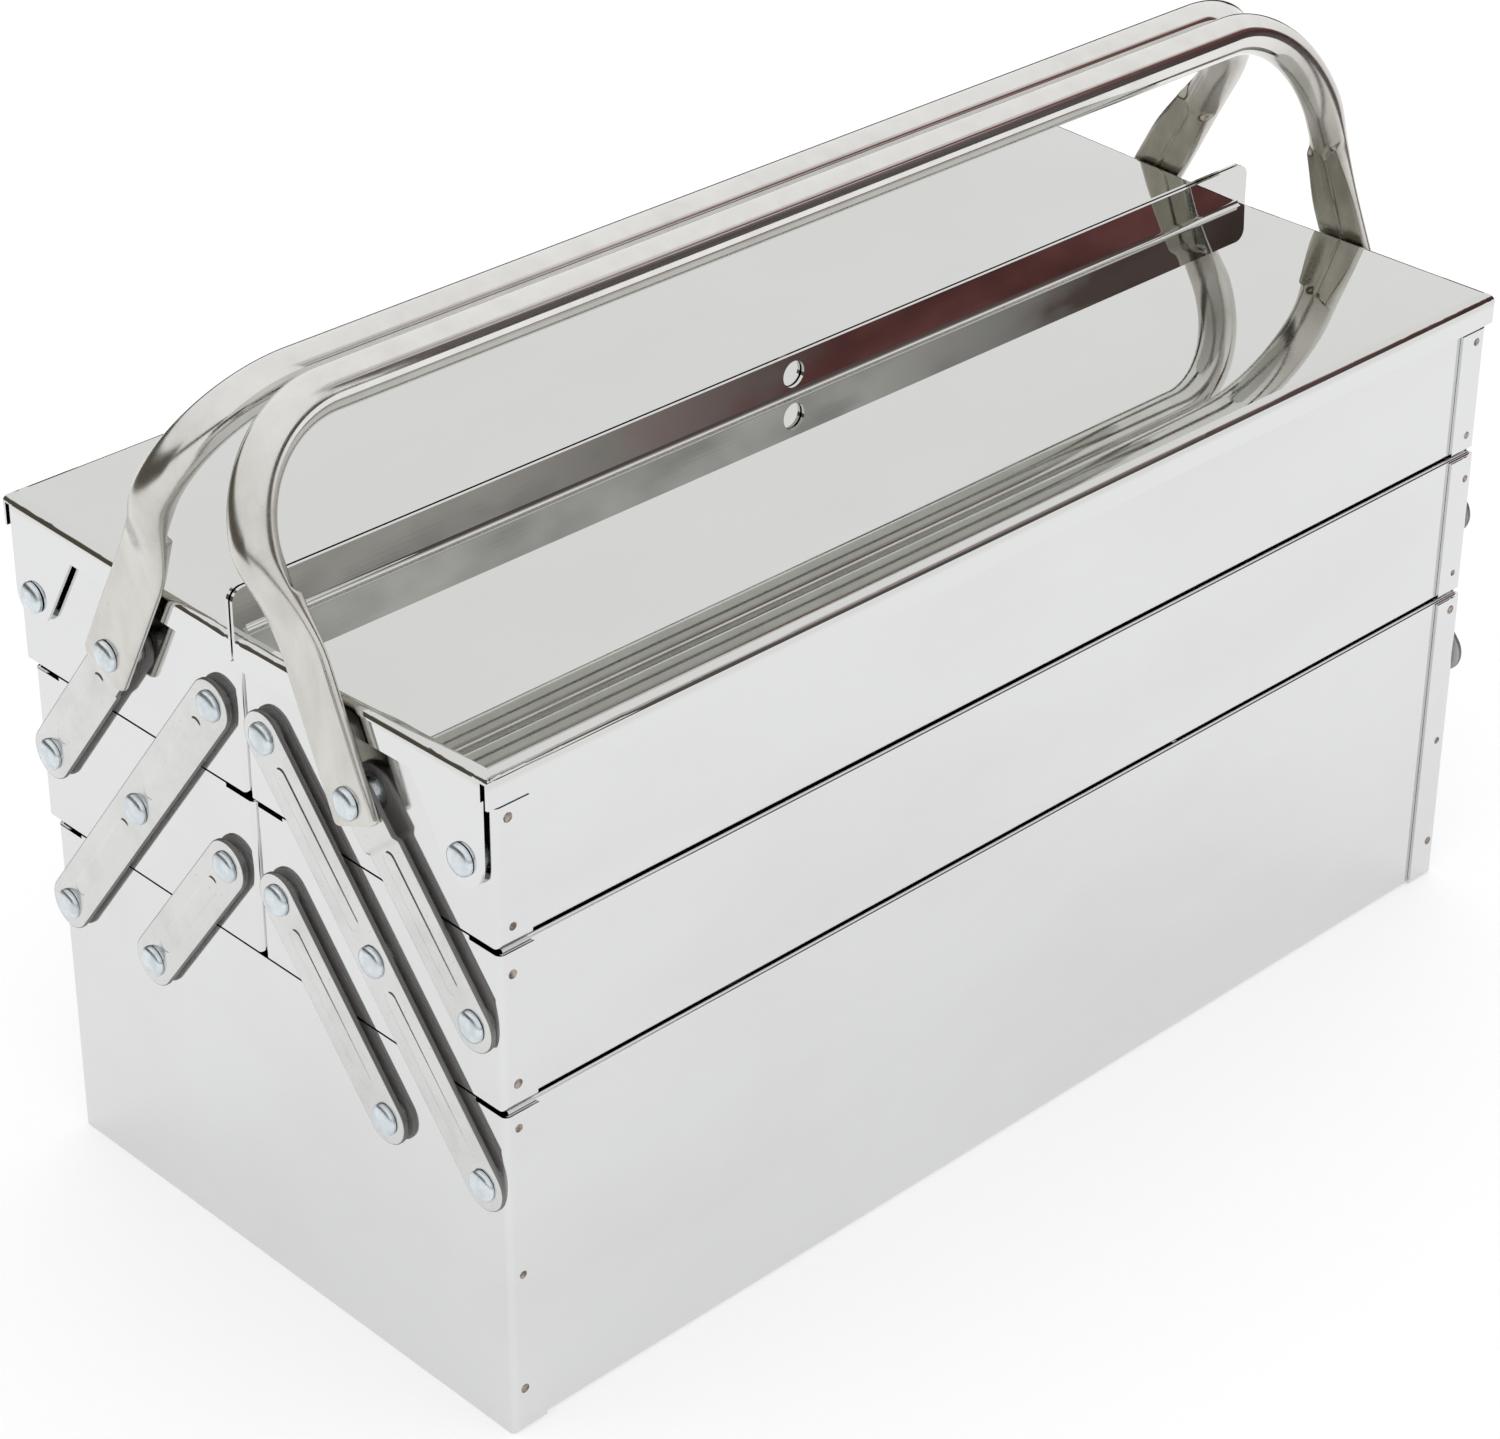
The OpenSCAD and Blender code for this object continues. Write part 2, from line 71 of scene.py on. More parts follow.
def pattern(tree, stretch, scale, detail, rough=0.5, turn=(0, 0, 0)):
    """Noise in the piece's own coordinates, stretched along its axes."""
    moved = shader_node(tree, "ShaderNodeMapping", {
        "Vector": own_place(tree), "Scale": stretch, "Rotation": turn})
    made = shader_node(tree, "ShaderNodeTexNoise", {
        "Vector": moved.outputs[0], "Scale": scale, "Detail": detail, "Roughness": rough})
    return made.outputs["Fac"]


def spread(tree, value, low, high, out_low, out_high):
    made = shader_node(tree, "ShaderNodeMapRange", {
        "Value": value, "From Min": low, "From Max": high, "To Min": out_low, "To Max": out_high})
    return made.outputs["Result"]


def blended(tree, factor, first, second):
    made = shader_node(tree, "ShaderNodeMix", data_type="RGBA")
    for socket, value in zip(("Factor_Float", "A_Color", "B_Color"), (factor, first, second)):
        target = next(s for s in made.inputs if s.identifier == socket)
        if isinstance(value, bpy.types.NodeSocket):
            tree.links.new(value, target)
        else:
            target.default_value = value
    return next(s for s in made.outputs if s.identifier == "Result_Color")


def shaded(tree, value, low, high, first, second):
    """One colour that runs into another as a pattern rises from low to high."""
    return blended(tree, spread(tree, value, low, high, 0, 1), (*first, 1), (*second, 1))


def sums(tree, operation, first, second=None):
    inputs = {0: first} if second is None else {0: first, 1: second}
    return shader_node(tree, "ShaderNodeMath", inputs, operation=operation).outputs[0]


def added(tree, first, second):
    return sums(tree, "ADD", first, second)


def times(tree, first, second):
    return sums(tree, "MULTIPLY", first, second)


def raised(tree, height, distance, strength=1.0, under=None):
    """Bump of the given depth, on top of another one if there is one."""
    made = shader_node(tree, "ShaderNodeBump", {
        "Height": height, "Distance": distance, "Strength": strength})
    if under is not None:
        tree.links.new(under, made.inputs["Normal"])
    return made.outputs["Normal"]


def metal(name):
    made = bpy.data.materials.new(name)
    made.use_nodes = True
    surface = made.node_tree.nodes["Principled BSDF"]
    surface.inputs["Metallic"].default_value = 1.0
    return made, made.node_tree, surface


def coat(tree, surface, colour, roughness, normal):
    """Gives a metal its colour, roughness and bump."""
    for name, value in (("Base Color", colour), ("Roughness", roughness), ("Normal", normal)):
        tree.links.new(value, surface.inputs[name])


def rolled_sheet(name, bright, smeared, gloss, smudge, wave, skirt_top=None):
    """Polished sheet: long smears, a fine grain along the box and a gentle waviness."""
    made, tree, surface = metal(name)
    smear = pattern(tree, (0.6, 1, 1.4), 11, 4, 0.6)
    grain = pattern(tree, (2.5, 420, 420), 2.2, 2)
    rubs = pattern(tree, (30, 30, 260), 1.7, 3, 0.6, (0.2, 0.5, 0.3))
    tint = shaded(tree, smear, 0.42, 0.72, bright, smeared)
    # Painted light: on a lid, the upright skirt below skirt_top is painted in the box walls' lighter
    # tone, lighter than the lid's top.
    if skirt_top is not None:
        height = shader_node(tree, "ShaderNodeSeparateXYZ", {0: own_place(tree)}).outputs[2]
        below = spread(tree, height, skirt_top, skirt_top + SKIRT_BLEND, 1, 0)
        tint = blended(tree, below, tint, (*SHEET_BRIGHT, 1))
    haze = spread(tree, smear, 0.35, 0.75, gloss, gloss + smudge)
    fine = spread(tree, rubs, 0.55, 0.8, 0, smudge)
    waves = raised(tree, pattern(tree, (0.7, 1, 1.2), 9, 0.6), wave)
    coat(tree, surface, tint, added(tree, haze, fine), raised(tree, grain, GRAIN_DEPTH, 0.5, waves))
    return made


# Painted light: the box sheet's tone is set lighter and slightly bluer than the lid's, so the upright
# walls come out lighter than the lid tops.
box_sheet = rolled_sheet("Box sheet", SHEET_BRIGHT, SHEET_SMEARED, 0.06, 0.04, 0.2 * mm)
for name, part in nodes.items():
    if name.endswith("_trough") or "_end_" in name:
        part.data.materials.clear()
        part.data.materials.append(box_sheet)

# Support washers on every pivot: thin zinc-plated rings that hold the arms off the end panels.
# Blanked from strip, so their faces are dull and a little cloudy under the plating.
ZINC = (0.60, 0.64, 0.67)
ZINC_CLOUDED = (0.48, 0.51, 0.53)


def clouded_metal(name, scale, detail, bright, dull, dull_from, rough, depth, strength=1.0):
    """Metal whose colour, roughness and bump follow one cloudy pattern."""
    made, tree, surface = metal(name)
    cloud = pattern(tree, EVEN, scale, detail)
    colour = shaded(tree, cloud, 0.4, dull_from, bright, dull)
    coat(tree, surface, colour, spread(tree, cloud, 0.3, 0.7, *rough),
         raised(tree, cloud, depth, strength))
    return made


zinc = clouded_metal("Zinc plate", 420, 4, ZINC, ZINC_CLOUDED, 0.65, (0.2, 0.34), 0.02 * mm)
for name, part in nodes.items():
    if name.endswith("_washers"):
        part.data.materials.clear()
        part.data.materials.append(zinc)

# Swing arms and handle links: blanked from 1.5 mm stainless strip with full round ends, punched for
# their rivets and stiffened by a shallow bead pressed between the holes. The upper end of each link is
# set outwards, under the handle's foot.
FRONT, REAR = -1, 1
SIDES = {"front": FRONT, "rear": REAR}
ENDS = {"left": -1, "right": 1}
COLUMNS = {"outer": 93.1 * mm, "middle": 52.3 * mm, "inner": 11.5 * mm}
PIVOT_Z = 84.9 * mm
ARM_RISE = 50.9 * mm
LEAN = 2.4 * mm
ARM_R = 8 * mm
ARM_T = 1.5 * mm
ARM_OUT = 1.15 * mm
HOLE_R = 2.55 * mm
EDGE_R = 0.3 * mm
BEAD_R = 2.9 * mm
BEAD_H = 0.35 * mm
BEAD_SLOPE = 0.9 * mm
BEAD_INSET = 11.5 * mm
JOGGLE = 1.2 * mm
JOGGLE_FOOT = 15.4 * mm
JOGGLE_HEAD = 13 * mm
JOGGLE_CUTS = 9
BEAD_CUTS = 4
BEAD_TURNS = 10
ROUND_45 = 0.29
ARM_POLISHED = (0.67, 0.67, 0.662)
ARM_SMEARED = (0.60, 0.60, 0.59)
ARM_DIRT = (0.30, 0.29, 0.28)
# Dark tone for the arms' edge faces: painted shade, the shadow strip beside each arm.
ARM_EDGE_SHADE = (0.22, 0.215, 0.21)
ARM_UNDERSIDE = (0.62, 0.60, 0.58)


def pivot(side, column, tier):
    """Across and height of a pivot; tier is 0 at the bottom."""
    return Vector((side * COLUMNS[column] + tier * LEAN, PIVOT_Z + tier * ARM_RISE))


def eased(t):
    t = min(max(t, 0), 1)
    return t * t * (3 - 2 * t)


def round_slot(mesh, r, low, high, height, steps=20):
    """Closed loop round two centres on the arm's middle line."""
    turns = [i * pi / steps for i in range(steps + 1)]
    spots = [(r * cos(a), high + r * sin(a)) for a in turns]
    spots += [(-r * cos(a), low - r * sin(a)) for a in turns]
    return [mesh.verts.new((u, v, height)) for u, v in spots]


def ring_of(mesh, r, middle, height, steps=40):
    return [mesh.verts.new((r * cos(i * tau / steps), middle + r * sin(i * tau / steps), height))
            for i in range(steps)]


def joined(mesh, loops):
    for low, high in zip(loops, loops[1:]):
        for i in range(len(low)):
            j = (i + 1) % len(low)
            mesh.faces.new((low[i], low[j], high[j], high[i]))


def filled(mesh, loops):
    """Flat face inside the first loop and outside the others."""
    edges = []
    for loop in loops:
        for i, corner in enumerate(loop):
            pair = (corner, loop[(i + 1) % len(loop)])
            edges.append(mesh.edges.get(pair) or mesh.edges.new(pair))
    bmesh.ops.triangle_fill(mesh, use_beauty=True, use_dissolve=False, edges=edges)


def piece(name, mesh, material, sharp=32):
    """Closes a finished mesh into an object with its faces outwards."""
    bmesh.ops.recalc_face_normals(mesh, faces=mesh.faces)
    data = bpy.data.meshes.new(name)
    mesh.to_mesh(data)
    mesh.free()
    data.materials.append(material)
    data.shade_smooth()
    data.set_sharp_from_angle(angle=radians(sharp))
    made = bpy.data.objects.new(name, data)
    bpy.context.scene.collection.objects.link(made)
    return made


def strip_arm(name, end, start, finish, holes, stepped, material):
    """Arm between two pivots, built flat and then stood against its end panel."""
    run = finish - start
    length = run.length
    mesh = bmesh.new()
    nick = ROUND_45 * EDGE_R
    rounds = [(EDGE_R, 0), (nick, nick), (0, EDGE_R), (0, ARM_T - EDGE_R), (nick, ARM_T - nick),
              (EDGE_R, ARM_T)]
    # The edge faces are marked so that the material can paint them dark as painted shade.
    sheared = mesh.faces.layers.float.new("sheared")
    rim = [round_slot(mesh, ARM_R - inset, 0, length, height) for inset, height in rounds]
    joined(mesh, rim)
    for face in mesh.faces:
        face[sheared] = 1
    spots = [i * length / (holes - 1) for i in range(holes)]
    lower = [ring_of(mesh, HOLE_R, v, 0) for v in spots]
    upper = [ring_of(mesh, HOLE_R, v, ARM_T) for v in spots]
    for low, high in zip(lower, upper):
        joined(mesh, [low, high])
    beads = []
    for low, high in zip(spots, spots[1:]):
        top = high - (JOGGLE_FOOT + BEAD_R if stepped else BEAD_INSET)
        loops = []
        for i in range(BEAD_CUTS + 1):
            t = i / BEAD_CUTS
            loops.append(round_slot(mesh, BEAD_R - t * BEAD_SLOPE, low + BEAD_INSET, top,
                                    ARM_T + BEAD_H * eased(t), BEAD_TURNS))
        joined(mesh, loops)
        mesh.faces.new(loops[-1])
        beads.append(loops[0])
    filled(mesh, [rim[-1]] + upper + beads)
    filled(mesh, [rim[0]] + lower)
    under = mesh.faces.layers.float.new("under")
    for face in mesh.faces:
        if all(corner.co.z < 0.5 * EDGE_R for corner in face.verts):
            face[under] = 1
    if stepped:
        for i in range(JOGGLE_CUTS + 1):
            v = length - JOGGLE_FOOT + i / JOGGLE_CUTS * (JOGGLE_FOOT - JOGGLE_HEAD)
            everything = mesh.verts[:] + mesh.edges[:] + mesh.faces[:]
            bmesh.ops.bisect_plane(mesh, geom=everything, plane_co=(0, v, 0), plane_no=(0, 1, 0))
        for corner in mesh.verts:
            t = (corner.co.y - length + JOGGLE_FOOT) / (JOGGLE_FOOT - JOGGLE_HEAD)
            corner.co.z += JOGGLE * eased(t)
    along = run / length
    for corner in mesh.verts:
        u, v, w = corner.co
        corner.co = (end * (END_X + ARM_OUT + w),
                     start.x + u * along.y + v * along.x,
                     start.y - u * along.x + v * along.y)
    return piece(name, mesh, material)


def painted(tree, name):
    """A value that was written on the mesh under this name."""
    return shader_node(tree, "ShaderNodeAttribute", attribute_name=name).outputs["Fac"]


arm_steel, tree, surface = metal("Arm strip")
smear = pattern(tree, EVEN, 60, 5, 0.6)
rubs = pattern(tree, (40, 520, 520), 1.2, 4, 0.65, (0.55, 0, 0))
specks = pattern(tree, EVEN, 900, 3, 0.6)
sheared = painted(tree, "sheared")
under = painted(tree, "under")
tint = shaded(tree, smear, 0.45, 0.75, ARM_POLISHED, ARM_SMEARED)
tint = blended(tree, spread(tree, specks, 0.66, 0.72, 0, 0.5), tint, (*ARM_DIRT, 1))
# Painted shade: the edge faces are painted dark for the shadow strip beside each arm; the sheared edges'
# real dullness is in the roughness.
tint = blended(tree, sheared, tint, (*ARM_EDGE_SHADE, 1))
tint = blended(tree, under, tint, (*ARM_UNDERSIDE, 1))
gloss = added(tree, spread(tree, smear, 0.3, 0.7, 0.12, 0.2), spread(tree, rubs, 0.5, 0.8, 0, 0.12))
dulled = added(tree, spread(tree, sheared, 0, 1, 0, 0.3), spread(tree, under, 0, 1, 0, 0.4))
scuffs = raised(tree, rubs, 0.01 * mm, 0.6, raised(tree, smear, 0.12 * mm))
coat(tree, surface, tint, added(tree, gloss, dulled), scuffs)
tree.links.new(sums(tree, "SUBTRACT", 1.0, times(tree, under, 0.75)), surface.inputs["Metallic"])

for side_name, side in SIDES.items():
    spans = {
        "long_arm": (pivot(side, "outer", 0), pivot(side, "inner", 2), 3, False, "_long_arms"),
        "short_arm": (pivot(side, "middle", 0), pivot(side, "inner", 1), 2, False, "_short_arms"),
        "link": (pivot(side, "outer", 1), pivot(side, "middle", 2), 2, True, "_handle"),
    }
    for kind, (start, finish, holes, stepped, body) in spans.items():
        for end_name, end in ENDS.items():
            name = f"{side_name}_{kind}_{end_name}"
            made = strip_arm(f"{name}_strip", end, start, finish, holes, stepped, arm_steel)
            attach(made, side_name + body)
            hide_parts(name)

# Handles: one stainless tube each, bent twice and flattened at both feet, where it is drilled for the
# link's rivet. The dies that press a foot flat leave a hollow down the face towards the box and a
# crease where the round begins; the bends and feet are duller than the polished grip.
TUBE_R = 6.5 * mm
BEND_R = 36 * mm
GRIP_Z = 281.8 * mm
GRIP_Y = 7.25 * mm
GRIP_LEAN = 0.6 * mm
FOOT_FACE = 3.85 * mm
FLAT_W = 19 * mm
FLAT_T = 3 * mm
FLAT_L = 38 * mm
FLARE_L = 36 * mm
FOOT_END = 6.5 * mm
FOOT_R = 1.5 * mm
AROUND = 96
BEND_STEPS = 48
CREASE = 58 * mm
CREASE_V = 2.5 * mm
CREASE_L = 3.2 * mm
PRESS_DEPTH = 1.1 * mm
RIDGE = 0.6 * mm
RIDGE_SHARE = 0.55
INNER_FACE = 1.5
HOLLOW_REACH = 1.25
SATIN_FROM = 0.3
SWEEP_FROM = 14 * mm
SWEEP_L = 40 * mm
FOOT_TURNS = (0, 22.5, 45, 67.5, 90)
LEG_CUTS = (6, 12, 18, 23, 28, 32, 36, 39, 42, 44.5, 47, 49, 51, 52.5, 54, 54.8, 55.4, 56, 56.6, 57.2,
            57.8, 58.4, 59, 59.6, 60.2, 61, 62, 63.5, 65.5)
BAR_CUTS = 12
TUBE_POLISHED = (0.74, 0.735, 0.715)
TUBE_SMEARED = (0.68, 0.67, 0.645)
TUBE_SATIN = (0.65, 0.635, 0.60)
TUBE_WORN = (0.55, 0.535, 0.495)
# Brown and darker brown painted on the faces of the feet and bends that turn towards the box: painted
# shade.
TUBE_SHADE_BROWN = (0.36, 0.34, 0.29)
TUBE_SHADE_DEEP = (0.27, 0.25, 0.21)
TUBE_DIRT = (0.3, 0.28, 0.25)


def flat_outline(share, trim):
    """Point on a flattened tube, a share of the way round from the middle of its outer face."""
    half = (FLAT_W - FLAT_T) / 2 - trim
    r = FLAT_T / 2
    total = 4 * half + tau * r
    run = share * total
    stops = [half, half + pi * r, 3 * half + pi * r, 3 * half + tau * r]
    if run < stops[0]:
        return r, run
    if run < stops[1]:
        a = (run - stops[0]) / r
        return r * cos(a), half + r * sin(a)
    if run < stops[2]:
        return -r, half - (run - stops[1])
    if run < stops[3]:
        a = pi + (run - stops[2]) / r
        return r * cos(a), -half + r * sin(a)
    return r, run - total


def tube_rings(leg):
    """Rings of one leg and its bend, from the foot up: (x, y, z, how flat, how far inside, how satin)."""
    inner_x = END_X + FOOT_FACE
    turn = leg - BEND_R
    rings = []

    def ring_at(run, trim):
        b = max(0.0, run - turn) / BEND_R
        t = eased((run - FLAT_L) / FLARE_L)
        satin = 1 - eased((run - turn - SATIN_FROM * BEND_R) / BEND_R)
        points = []
        for i in range(AROUND):
            share = i / AROUND
            a = tau * share
            fx, fy = flat_outline(share, trim)
            rx, ry = TUBE_R * cos(a), TUBE_R * sin(a)
            y = fy + t * (ry - fy)
            # The die leaves the inner face round down to the crease and hollows it below.
            inward = eased(-INNER_FACE * cos(a))
            below = eased((CREASE + CREASE_V * abs(y) / TUBE_R - run) / CREASE_L)
            pressed = t + inward * (1 - below - t)
            swept = eased((run - SWEEP_FROM) / SWEEP_L) * below
            hollow = PRESS_DEPTH * swept * inward * (1 - RIDGE_SHARE * exp(-(y / RIDGE) ** 2))
            hollow *= eased(HOLLOW_REACH - abs(y) / TUBE_R)
            x = FLAT_T / 2 + pressed * (TUBE_R - FLAT_T / 2) + fx + pressed * (rx - fx) + hollow
            reach = BEND_R + x - TUBE_R
            points.append((inner_x + TUBE_R - BEND_R + reach * cos(b), y,
                           min(run, turn) + reach * sin(b), 1 - t, inward, satin))
        rings.append(points)

    for q in FOOT_TURNS:
        a = radians(q)
        ring_at(FOOT_R * (1 - cos(a)) - FOOT_END, FOOT_R * (1 - sin(a)))
    for run in LEG_CUTS:
        ring_at(run * mm, 0)
    for k in range(BEND_STEPS + 1):
        ring_at(turn + k / BEND_STEPS * pi / 2 * BEND_R, 0)
    return rings


def bent_handle(name, side, material):
    start = pivot(side, "middle", 2)
    finish = Vector((GRIP_LEAN + side * GRIP_Y, GRIP_Z))
    run = finish - start
    leg = run.length
    along = run / leg
    half = tube_rings(leg)
    bar_x = half[-1][0][0]
    bar = [[(bar_x * (1 - k / BAR_CUTS), *spot[1:]) for spot in half[-1]]
           for k in range(1, 2 * BAR_CUTS)]
    mirror = [[(-spot[0], *spot[1:]) for spot in ring] for ring in reversed(half)]
    mesh = bmesh.new()
    pressed = mesh.verts.layers.float.new("pressed")
    inside = mesh.verts.layers.float.new("inside")
    bent = mesh.verts.layers.float.new("bent")
    loops = []
    for ring in half + bar + mirror:
        loop = []
        for x, y, z, flat, inward, satin in ring:
            corner = mesh.verts.new((x, start.x + y * along.y + z * along.x,
                                     start.y - y * along.x + z * along.y))
            corner[pressed] = flat
            corner[inside] = inward
            corner[bent] = satin
            loop.append(corner)
        loops.append(loop)
    joined(mesh, loops)
    mesh.faces.new(loops[0])
    mesh.faces.new(loops[-1])
    return piece(name, mesh, material, 40)


tube_steel, tree, surface = metal("Handle tube")
press = painted(tree, "pressed")
inside = painted(tree, "inside")
on_bend = painted(tree, "bent")
mottle = pattern(tree, (1, 1, 0.5), 90, 5, 0.6)
draw = pattern(tree, (4, 700, 700), 1.5, 3)
specks = pattern(tree, EVEN, 800, 3, 0.6)
dents = pattern(tree, (1, 1, 0.6), 45, 0.5)
polished = shaded(tree, mottle, 0.35, 0.7, TUBE_POLISHED, TUBE_SMEARED)
satin = shaded(tree, mottle, 0.35, 0.75, TUBE_SATIN, TUBE_WORN)
shade_brown = shaded(tree, mottle, 0.35, 0.65, TUBE_SHADE_BROWN, TUBE_SHADE_DEEP)
# Painted shade: the faces of the feet and bends that turn towards the box are painted brown, most on the
# flattened feet.
shade_reach = added(tree, spread(tree, press, 0, 0.5, 0, 0.6), spread(tree, on_bend, 0, 1, 0, 0.4))
inner_shade = times(tree, spread(tree, inside, 0.1, 0.7, 0, 1), shade_reach)
dirt = times(tree, spread(tree, specks, 0.68, 0.74, 0, 0.5), on_bend)
tint = blended(tree, on_bend, polished, satin)
tint = blended(tree, inner_shade, tint, shade_brown)
tint = blended(tree, dirt, tint, (*TUBE_DIRT, 1))
gloss = added(tree, spread(tree, on_bend, 0, 1, 0.06, 0.2), spread(tree, draw, 0.4, 0.8, 0, 0.05))
gloss = added(tree, gloss, spread(tree, mottle, 0.45, 0.8, 0, 0.06))
drawn = raised(tree, draw, 0.001 * mm, 0.4)
coat(tree, surface, tint, gloss, raised(tree, dents, 0.06 * mm, 0.5, drawn))

for side_name, side in SIDES.items():
    made = bent_handle(f"{side_name}_handle_tube", side, tube_steel)
    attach(made, f"{side_name}_handle")
    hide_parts(f"{side_name}_handle")

# Lids: one folded sheet on each top tray, hinged on its outer rivets, with a flange along the split
# that is punched for a padlock. The same sheet as the boxes, but the best polished face of all. Its tone
# is painted darker than the box sheet's and its upright skirt lighter: painted light and shade for tops
# and upright faces.
# LID_SKIRT_TOP is where the painted light starts: below it the lid's skirt takes the box walls' lighter
# tone.
LID_SKIRT_TOP = 211.5 * mm
LID_BRIGHT = (0.652, 0.655, 0.637)
LID_SMEARED = (0.630, 0.633, 0.612)
lid_sheet = rolled_sheet("Lid sheet", LID_BRIGHT, LID_SMEARED, 0.012, 0.015, 0.16 * mm, LID_SKIRT_TOP)
for side_name in SIDES:
    part = nodes[f"{side_name}_lid"]
    part.data.materials.clear()
    part.data.materials.append(lid_sheet)

# Rivets: zinc-plated, low domed heads outside and closed tails inside. Every head is set by the same
# tool, so one tree of nodes makes a head, shank and tail on each pivot of a body, a little uneven from
# the hammer.
FACE_PLAY = 0.15 * mm
STACKS = {"seated": 2.5 * mm, "eared": 2.2 * mm, "footed": 6.7 * mm}
HEAD_R, HEAD_H, HEAD_BULGE = 4.8 * mm, 1.9 * mm, 0.72
HEAD_TILT = 0.02
SHANK_R = 2.5 * mm
TAIL_R, TAIL_H, TAIL_BULGE = 4 * mm, 1.2 * mm, 0.6
HAMMER_SCALE = 260.0
UNEVENNESS = 0.1 * mm
RIVET_BRIGHT = (0.70, 0.765, 0.80)
RIVET_CLOUDED = (0.62, 0.67, 0.70)


def node_group(name, sizes):
    """Empty tree of geometry nodes with a named input for each size."""
    tree = bpy.data.node_groups.new(name, "GeometryNodeTree")
    tree.interface.new_socket("Geometry", in_out="INPUT", socket_type="NodeSocketGeometry")
    for label, kind in sizes.items():
        tree.interface.new_socket(label, in_out="INPUT", socket_type=f"NodeSocket{kind}")
    tree.interface.new_socket("Geometry", in_out="OUTPUT", socket_type="NodeSocketGeometry")
    given = tree.nodes.new("NodeGroupInput")
    result = tree.nodes.new("NodeGroupOutput")
    return tree, given.outputs, result.inputs


def written(tree, name, kind):
    """A value that was written on the points under this name."""
    return shader_node(tree, "GeometryNodeInputNamedAttribute", {"Name": name}, data_type=kind).outputs[0]


def from_middle(tree, x, y):
    return sums(tree, "SQRT", added(tree, times(tree, x, x), times(tree, y, y)))


def scaled(tree, vector, factor):
    return shader_node(tree, "ShaderNodeVectorMath", {0: vector, "Scale": factor},
                       operation="SCALE").outputs[0]


def facing_turn(tree, facing):
    return shader_node(tree, "FunctionNodeAlignRotationToVector", {"Vector": facing}, axis="Z").outputs[0]


def shifted(tree, shape, offset):
    return shader_node(tree, "GeometryNodeSetPosition", {"Geometry": shape, "Offset": offset}).outputs[0]


def surfaced(tree, shape, material):
    """The shape, smooth and in its material."""
    smooth = shader_node(tree, "GeometryNodeSetShadeSmooth", {"Geometry": shape}).outputs[0]
    return shader_node(tree, "GeometryNodeSetMaterial", {
        "Geometry": smooth, "Material": material}).outputs[0]


def turned_cap(tree, radius, height, bulge, rings, sides):
    """Closed cap turned from a rounded outline, standing on its flat face at the origin."""
    blank = shader_node(tree, "GeometryNodeMeshCone", {
        "Vertices": sides, "Side Segments": rings, "Radius Top": 0.0, "Radius Bottom": 1.0, "Depth": 1.0})
    point = shader_node(tree, "GeometryNodeInputPosition").outputs[0]
    spot = shader_node(tree, "ShaderNodeSeparateXYZ", {0: point})
    x, y = spot.outputs[0], spot.outputs[1]
    share = from_middle(tree, x, y)
    angle = times(tree, sums(tree, "MINIMUM", share, 1.0), pi / 2)
    reach = sums(tree, "POWER", sums(tree, "SINE", angle), bulge)
    rise = sums(tree, "POWER", sums(tree, "MAXIMUM", sums(tree, "COSINE", angle), 0.0), bulge)
    size = sums(tree, "DIVIDE", times(tree, reach, radius), sums(tree, "MAXIMUM", share, 0.0001))
    place = shader_node(tree, "ShaderNodeCombineXYZ", {
        0: times(tree, x, size), 1: times(tree, y, size), 2: times(tree, rise, height)})
    return shader_node(tree, "GeometryNodeSetPosition", {
        "Geometry": blank.outputs["Mesh"], "Position": place.outputs[0]}).outputs[0]


def set_on_points(tree, points, made, facing, turn_seed, tilt=0.0):
    """Instances of a piece on points, each facing outwards and turned about that by chance."""
    placed = shader_node(tree, "GeometryNodeInstanceOnPoints", {
        "Points": points, "Instance": made, "Rotation": facing_turn(tree, facing)}).outputs[0]
    chance = shader_node(tree, "FunctionNodeRandomValue", {
        0: (-tilt, -tilt, 0.0), 1: (tilt, tilt, tau), "Seed": turn_seed},
        data_type="FLOAT_VECTOR").outputs[0]
    return shader_node(tree, "GeometryNodeRotateInstances", {
        "Instances": placed, "Rotation": chance}).outputs[0]


def made_by(tree, name, points, values):
    """Plain mesh object that a tree of nodes makes on a set of points."""
    cloud = bpy.data.meshes.new(f"{name} points")
    cloud.from_pydata([spot for spot, _, _ in points], [], [])
    cloud.attributes.new("facing", "FLOAT_VECTOR", "POINT")
    cloud.attributes.new("stack", "FLOAT", "POINT")
    for i, (_, out, height) in enumerate(points):
        cloud.attributes["facing"].data[i].vector = out
        cloud.attributes["stack"].data[i].value = height
    holder = bpy.data.objects.new(f"{name} points", cloud)
    bpy.context.scene.collection.objects.link(holder)
    maker = holder.modifiers.new("Made", "NODES")
    maker.node_group = tree
    for socket in tree.interface.items_tree:
        if socket.name in values:
            maker[socket.identifier] = values[socket.name]
    bpy.context.view_layer.update()
    ready = holder.evaluated_get(bpy.context.evaluated_depsgraph_get())
    data = bpy.data.meshes.new_from_object(ready)
    bpy.data.objects.remove(holder)
    data.name = name
    data.set_sharp_from_angle(angle=radians(40))
    made = bpy.data.objects.new(name, data)
    bpy.context.scene.collection.objects.link(made)
    return made


rivet_zinc = clouded_metal("Rivet zinc", 330, 4, RIVET_BRIGHT, RIVET_CLOUDED, 0.65, (0.24, 0.36),
                           0.05 * mm, 0.7)

rivet_tree, given, result = node_group("Rivets", {
    "Head radius": "Float", "Head height": "Float", "Shank radius": "Float", "Tail radius": "Float",
    "Tail height": "Float", "Sheet": "Float", "Unevenness": "Float", "Seed": "Int",
    "Material": "Material"})
facing = written(rivet_tree, "facing", "FLOAT_VECTOR")
stack = written(rivet_tree, "stack", "FLOAT")


def stood_off(distance):
    """The points, moved that far outwards."""
    return shifted(rivet_tree, given["Geometry"], scaled(rivet_tree, facing, distance))


